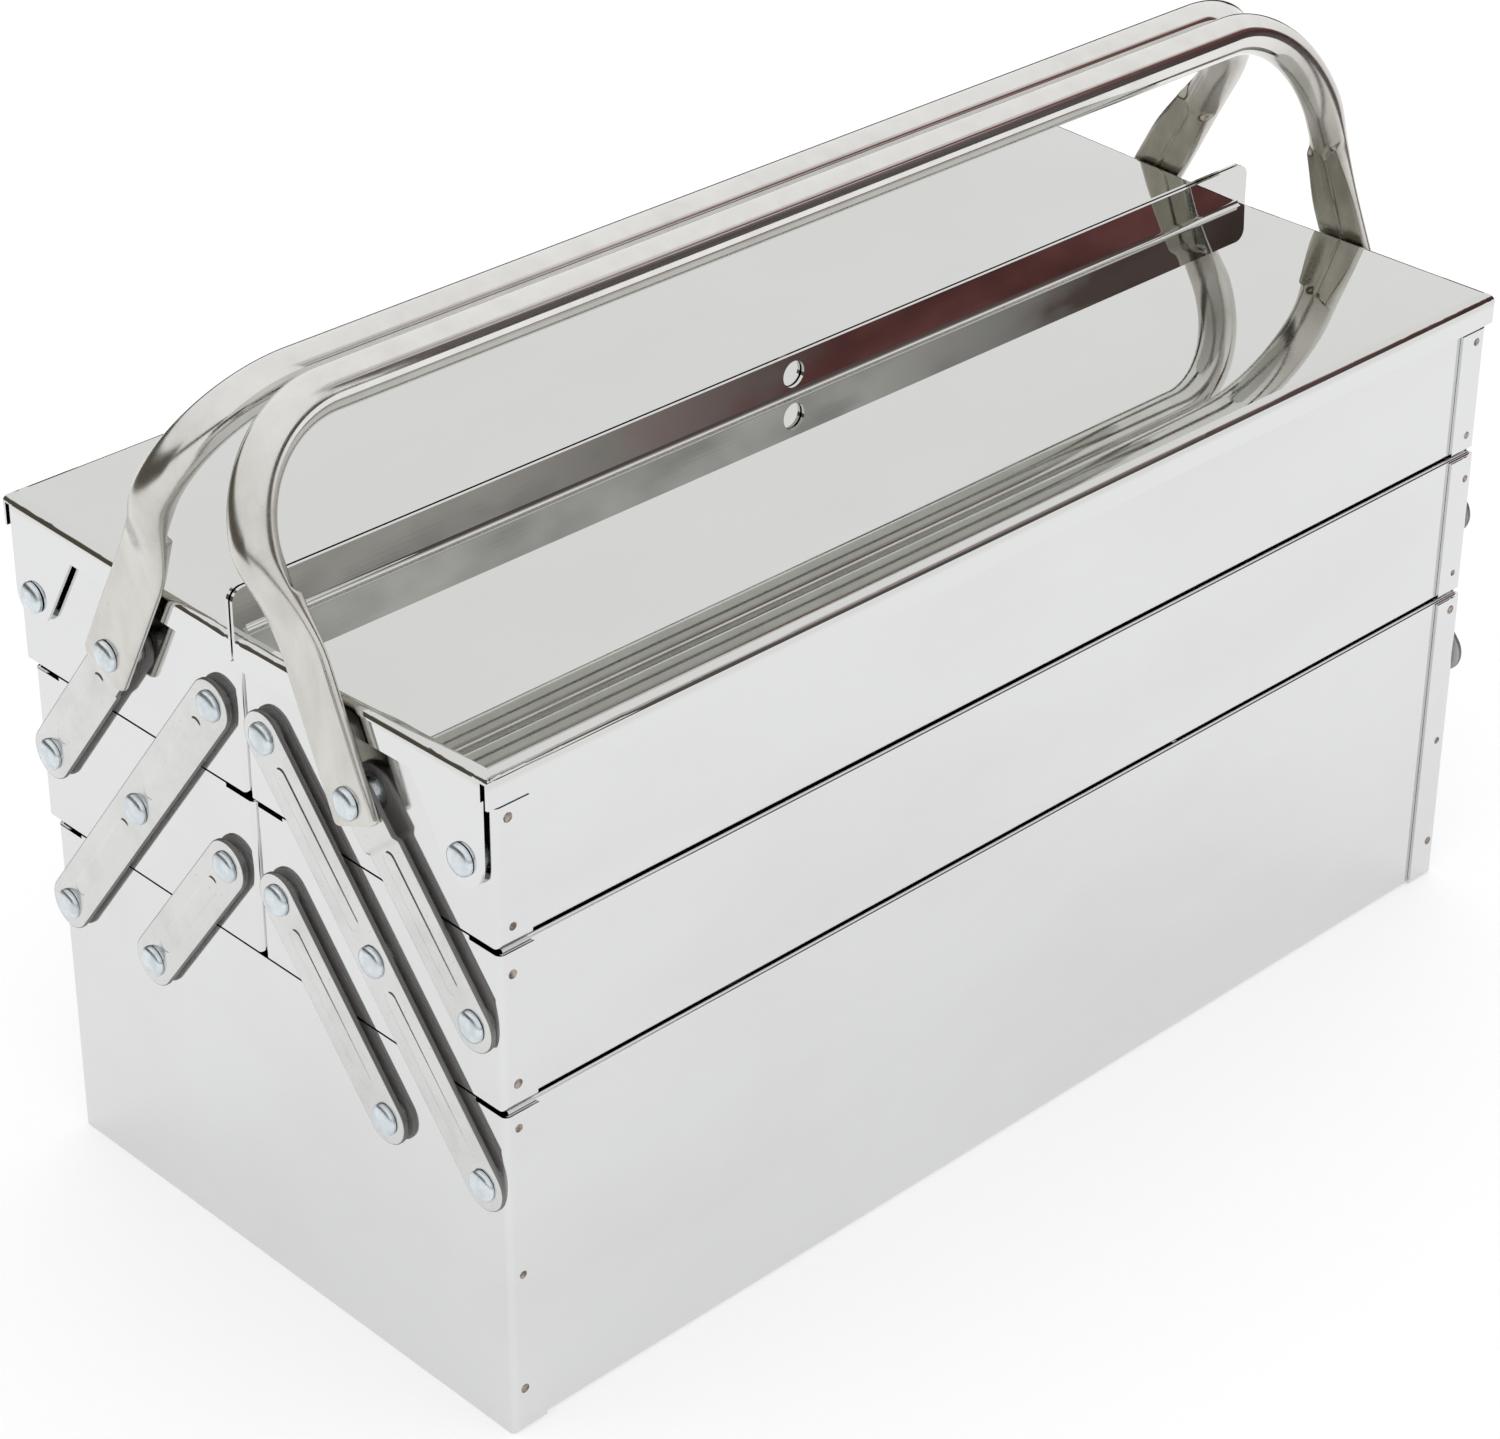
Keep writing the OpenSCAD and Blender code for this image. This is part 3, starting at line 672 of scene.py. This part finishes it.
head = turned_cap(rivet_tree, given["Head radius"], given["Head height"], HEAD_BULGE, 9, 28)
heads = set_on_points(rivet_tree, stood_off(stack), head, facing, given["Seed"], HEAD_TILT)
tail = turned_cap(rivet_tree, given["Tail radius"], given["Tail height"], TAIL_BULGE, 5, 24)
behind = stood_off(times(rivet_tree, given["Sheet"], -1.0))
tails = set_on_points(rivet_tree, behind, tail, scaled(rivet_tree, facing, -1.0), given["Seed"])
bar = shader_node(rivet_tree, "GeometryNodeMeshCylinder", {
    "Vertices": 24, "Radius": given["Shank radius"], "Depth": 1.0}).outputs["Mesh"]
bar = shader_node(rivet_tree, "GeometryNodeTransform", {
    "Geometry": bar, "Translation": (0, 0, 0.5)}).outputs[0]
length = added(rivet_tree, stack, given["Sheet"])
stretch = shader_node(rivet_tree, "ShaderNodeCombineXYZ", {0: 1.0, 1: 1.0, 2: length}).outputs[0]
shanks = shader_node(rivet_tree, "GeometryNodeInstanceOnPoints", {
    "Points": behind, "Instance": bar, "Rotation": facing_turn(rivet_tree, facing),
    "Scale": stretch}).outputs[0]
together = rivet_tree.nodes.new("GeometryNodeJoinGeometry")
for part in (heads, tails, shanks):
    rivet_tree.links.new(part, together.inputs[0])
real = shader_node(rivet_tree, "GeometryNodeRealizeInstances", {
    "Geometry": together.outputs[0]}).outputs[0]
dents = shader_node(rivet_tree, "ShaderNodeTexNoise", {
    "Scale": HAMMER_SCALE, "Detail": 1.0}).outputs["Fac"]
depth = times(rivet_tree, sums(rivet_tree, "SUBTRACT", dents, 0.5), given["Unevenness"])
hammered = shifted(rivet_tree, real, scaled(rivet_tree, facing, depth))
rivet_tree.links.new(surfaced(rivet_tree, hammered, given["Material"]), result[0])


def seats(side_list, tier, columns):
    """Rivet points: place on the end panel, outward direction, and thickness held."""
    found = []
    for end in ENDS.values():
        for side in side_list:
            for column, kind in columns:
                y, z = pivot(side, column, tier)
                found.append(((end * END_X, y, z), (end, 0, 0), STACKS[kind] + 2 * FACE_PLAY))
    return found


rivet_rows = {"base_rivets": ("base", seats(
    [FRONT, REAR], 0, [("outer", "seated"), ("middle", "seated")]))}
for side_name, side in SIDES.items():
    rivet_rows[f"{side_name}_middle_rivets"] = (f"{side_name}_middle_tray", seats(
        [side], 1, [("outer", "seated"), ("middle", "seated"), ("inner", "seated")]))
    rivet_rows[f"{side_name}_top_rivets"] = (f"{side_name}_top_tray", seats(
        [side], 2, [("outer", "eared"), ("middle", "footed"), ("inner", "seated")]))
for number, (name, (body, points)) in enumerate(rivet_rows.items()):
    made = made_by(rivet_tree, f"{name}_set", points, {
        "Head radius": HEAD_R, "Head height": HEAD_H, "Shank radius": SHANK_R, "Tail radius": TAIL_R,
        "Tail height": TAIL_H, "Sheet": SHEET, "Unevenness": UNEVENNESS, "Seed": number,
        "Material": rivet_zinc})
    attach(made, body)
    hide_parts(name)

# Spot welds: each trough is welded inside the flanges of its end panels. The electrodes leave a small
# ring with a heat tint on the outside of the flange, and a tree of nodes scatters them slightly.
WELD_X = 201.3 * mm
WELD_ROWS = {0: (14 * mm, 54 * mm, 104 * mm), 1: (118.5 * mm, 152.7 * mm), 2: (168.5 * mm, 201 * mm)}
WELD_R = 1.4 * mm
WELD_H = 0.08 * mm
WELD_SCATTER = 0.8 * mm
WELD_BULGE = 0.5
WELD_RIM = 0.8
WELD_DIP = 0.9
WELD_SIZES = (0.75, 1.15)
WELD_SEED = 20
WELD_BURNT = (0.16, 0.12, 0.10)
WELD_TINTED = (0.45, 0.40, 0.36)
HALF_WIDTH = 100 * mm
TIER_STEP = 1.9 * mm
weld_mark = clouded_metal("Weld mark", 700, 3, WELD_BURNT, WELD_TINTED, 0.62, (0.3, 0.5), 0.04 * mm)

weld_tree, given, result = node_group("Spot welds", {
    "Radius": "Float", "Height": "Float", "Scatter": "Float", "Seed": "Int", "Material": "Material"})
facing = written(weld_tree, "facing", "FLOAT_VECTOR")
shake = shader_node(weld_tree, "ShaderNodeCombineXYZ", {
    0: given["Scatter"], 1: 0.0, 2: given["Scatter"]}).outputs[0]
drift = shader_node(weld_tree, "FunctionNodeRandomValue", {
    0: scaled(weld_tree, shake, -1.0), 1: shake, "Seed": given["Seed"]},
    data_type="FLOAT_VECTOR").outputs[0]
spots = shifted(weld_tree, given["Geometry"], drift)
cap = turned_cap(weld_tree, given["Radius"], given["Height"], WELD_BULGE, 7, 20)
point = shader_node(weld_tree, "GeometryNodeInputPosition").outputs[0]
where = shader_node(weld_tree, "ShaderNodeSeparateXYZ", {0: point}).outputs
share = sums(weld_tree, "DIVIDE", from_middle(weld_tree, where[0], where[1]), given["Radius"])
inner = sums(weld_tree, "MAXIMUM", sums(weld_tree, "SUBTRACT", WELD_RIM, share), 0.0)
dip = times(weld_tree, inner, times(weld_tree, given["Height"], -WELD_DIP))
cap = shifted(weld_tree, cap, shader_node(weld_tree, "ShaderNodeCombineXYZ", {2: dip}).outputs[0])
marks = set_on_points(weld_tree, spots, cap, facing, given["Seed"])
size = shader_node(weld_tree, "FunctionNodeRandomValue", {
    2: WELD_SIZES[0], 3: WELD_SIZES[1], "Seed": given["Seed"]}, data_type="FLOAT").outputs[1]
marks = shader_node(weld_tree, "GeometryNodeScaleInstances", {
    "Instances": marks, "Scale": size}).outputs[0]
real = shader_node(weld_tree, "GeometryNodeRealizeInstances", {"Geometry": marks}).outputs[0]
weld_tree.links.new(surfaced(weld_tree, real, given["Material"]), result[0])

weld_rows = {"base": [(side, 0) for side in SIDES.values()]}
for side_name, side in SIDES.items():
    weld_rows[f"{side_name}_middle_tray"] = [(side, 1)]
    weld_rows[f"{side_name}_top_tray"] = [(side, 2)]
for number, (body, rows) in enumerate(weld_rows.items()):
    points = []
    for side, tier in rows:
        y = side * (HALF_WIDTH + tier * TIER_STEP) + tier * LEAN
        points += [((end * WELD_X, y, z), (0, side, 0), 0)
                   for end in ENDS.values() for z in WELD_ROWS[tier]]
    made = made_by(weld_tree, f"{body}_welds", points, {
        "Radius": WELD_R, "Height": WELD_H, "Scatter": WELD_SCATTER, "Seed": WELD_SEED + number,
        "Material": weld_mark})
    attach(made, body)

# Studio: a pale table, a white surround, and dark curtains that only the metal sees, which give the
# polished bends and tubes their dark lines.
FLOOR_REACH = 9.0
FLOOR_Z = -0.2 * mm
FLOOR_GREY = (0.62, 0.62, 0.62, 1)
FLOOR_GLOW = 0.45
CURTAIN_CUTS = 12


def backdrop_sheet(name, corners, material):
    data = bpy.data.meshes.new(name)
    data.from_pydata(corners, [], [tuple(range(len(corners)))])
    data.materials.append(material)
    made = bpy.data.objects.new(name, data)
    bpy.context.scene.collection.objects.link(made)
    return made


table = bpy.data.materials.new("Pale table")
table.use_nodes = True
tree = table.node_tree
tree.nodes.clear()
seen = shader_node(tree, "ShaderNodeLightPath").outputs
shown = added(tree, seen["Is Camera Ray"], seen["Is Glossy Ray"])
shown = added(tree, shown, seen["Is Transmission Ray"])
lit = shader_node(tree, "ShaderNodeBsdfDiffuse", {"Color": FLOOR_GREY}).outputs[0]
glow = shader_node(tree, "ShaderNodeEmission", {
    "Strength": times(tree, sums(tree, "MINIMUM", shown, 1.0), FLOOR_GLOW)}).outputs[0]
both = shader_node(tree, "ShaderNodeAddShader", {0: lit, 1: glow}).outputs[0]
shader_node(tree, "ShaderNodeOutputMaterial", {"Surface": both})
corners = [(x * FLOOR_REACH, y * FLOOR_REACH, FLOOR_Z) for x, y in ((-1, -1), (1, -1), (1, 1), (-1, 1))]
backdrop_sheet("table_top", corners, table)

surround = bpy.data.worlds.new("White surround")
surround.use_nodes = True
sky = surround.node_tree.nodes["Background"].inputs
sky["Color"].default_value = (1, 1, 1, 1)
sky["Strength"].default_value = 1.0
bpy.context.scene.world = surround


def height_colour(tree, height, colours):
    """Colour that runs through the given heights."""
    low, high = colours[0][0], colours[-1][0]
    ramp = shader_node(tree, "ShaderNodeValToRGB", {"Fac": spread(tree, height, low, high, 0, 1)})
    stops = ramp.color_ramp.elements
    while len(stops) < len(colours):
        stops.new(0.5)
    for stop, (z, colour) in zip(stops, colours):
        stop.position = (z - low) / (high - low)
        stop.color = (*colour, 1)
    return ramp.outputs[0]


def only_reflected(name, corners, faces, colours, patchy=0.0, farther=None):
    """Studio surface that only polished metal sees, coloured by height and fading to others along X."""
    cloth = bpy.data.materials.new(name)
    cloth.use_nodes = True
    tree = cloth.node_tree
    tree.nodes.clear()
    spot = shader_node(tree, "ShaderNodeSeparateXYZ", {0: own_place(tree)})
    cloud = pattern(tree, (1, 1, 2.2), 5.5, 3, 0.6)
    shade = height_colour(tree, spot.outputs[2], colours)
    if farther is not None:
        far_colours, start, end = farther
        edge = added(tree, spot.outputs[0], spread(tree, cloud, 0.3, 0.7, -0.15, 0.15))
        shade = blended(tree, spread(tree, edge, start, end, 0, 1), shade,
                        height_colour(tree, spot.outputs[2], far_colours))
    strength = spread(tree, cloud, 0.36, 0.64, 1 - patchy, 1 + patchy)
    glow = shader_node(tree, "ShaderNodeEmission", {"Color": shade, "Strength": strength})
    shader_node(tree, "ShaderNodeOutputMaterial", {"Surface": glow.outputs[0]})
    data = bpy.data.meshes.new(name)
    data.from_pydata(corners, [], faces)
    data.materials.append(cloth)
    made = bpy.data.objects.new(name, data)
    bpy.context.scene.collection.objects.link(made)
    made.visible_camera = False
    made.visible_diffuse = False
    made.visible_shadow = False


def curtain(name, azimuths, distance, colours):
    """Dark cloth hung round part of the studio."""
    first, last = azimuths
    row = [radians(first + i / CURTAIN_CUTS * (last - first)) for i in range(CURTAIN_CUTS + 1)]
    heights = (colours[0][0], colours[-1][0])
    corners = [(distance * cos(a), distance * sin(a), z) for z in heights for a in row]
    above = CURTAIN_CUTS + 1
    faces = [(i, i + 1, i + above + 1, i + above) for i in range(CURTAIN_CUTS)]
    only_reflected(name, corners, faces, colours)


DARK = (0.03, 0.027, 0.027)
SMOKY = (0.10, 0.088, 0.07)
FADED = (0.3, 0.3, 0.3)
curtain("dark_left", (100, 190), 1.0, [(0.0, SMOKY), (0.36, SMOKY), (0.46, FADED)])
curtain("dark_back", (20, 100), 1.6, [(0.0, DARK), (0.36, DARK), (0.42, FADED)])
curtain("dark_near", (190, 300), 2.6, [(0.0, DARK), (0.3, DARK), (0.36, FADED)])

# A wall to the right of the camera, grey at its near end and dark red farther off, seen only in the
# metal. A shelf crosses it about one and a half metres up, pale at the near end and dull farther off.
WALL_Y = -1.9
WALL_ENDS = (1.1, 3.3)
WALL_TOP = 3.4
SHELF_TOP = 1.55
SHELF_NEAR = (0.62, 0.62, 0.61)
SHELF_FAR = (0.10, 0.072, 0.068)
PALE = [(2.1, (0.66, 0.6, 0.59)), (WALL_TOP, (1.0, 1.0, 1.0))]
LOW_NEAR = [(0.0, (0.10, 0.09, 0.09)), (0.9, (0.12, 0.10, 0.10)), (1.36, (0.20, 0.17, 0.165)),
            (1.38, SHELF_NEAR), (SHELF_TOP, SHELF_NEAR)]
LOW_FAR = [(0.0, (0.03, 0.02, 0.02)), (0.9, (0.075, 0.035, 0.035)), (1.36, (0.16, 0.06, 0.055)),
           (1.38, SHELF_FAR), (SHELF_TOP, SHELF_FAR)]
HIGH_NEAR = [(SHELF_TOP, (0.47, 0.46, 0.45)), (1.9, (0.48, 0.46, 0.45))] + PALE
HIGH_FAR = [(SHELF_TOP, (0.17, 0.066, 0.066)), (1.9, (0.19, 0.08, 0.076))] + PALE
for name, low, high, near, far, fade in (
        ("wall_below_shelf", 0, SHELF_TOP, LOW_NEAR, LOW_FAR, (1.95, 2.35)),
        ("wall_above_shelf", SHELF_TOP, WALL_TOP, HIGH_NEAR, HIGH_FAR, (1.6, 1.95))):
    start, end = WALL_ENDS
    corners = [(start, WALL_Y, low), (end, WALL_Y, low), (end, WALL_Y, high), (start, WALL_Y, high)]
    only_reflected(name, corners, [(0, 1, 2, 3)], near, 0.3, (far, *fade))

# Camera: off the near left corner of the box and well above it, looking down through a long lens. Its
# frame is shifted sideways and down.
CAMERA_PLACE = Vector((-0.76462, -0.76838, 0.76230))
CAMERA_AXES = Matrix(((0.70135453, 0.3450438, -0.623736),
                      (-0.71246756, 0.36655636, -0.59835308),
                      (0.02217638, 0.86404931, 0.50291848)))
SENSOR_W = 36
FOCAL_L = 97.87
SHIFT = (-130 / 1500, -79.5 / 1500)
lens = bpy.data.cameras.new("Camera")
lens.sensor_fit = "HORIZONTAL"
lens.sensor_width = SENSOR_W
lens.lens = FOCAL_L
lens.shift_x, lens.shift_y = SHIFT
camera = bpy.data.objects.new("Camera", lens)
camera.matrix_world = Matrix.Translation(CAMERA_PLACE) @ CAMERA_AXES.to_4x4()
bpy.context.scene.collection.objects.link(camera)
bpy.context.scene.camera = camera
bpy.context.scene.view_settings.view_transform = "Standard"

bpy.context.view_layer.update()
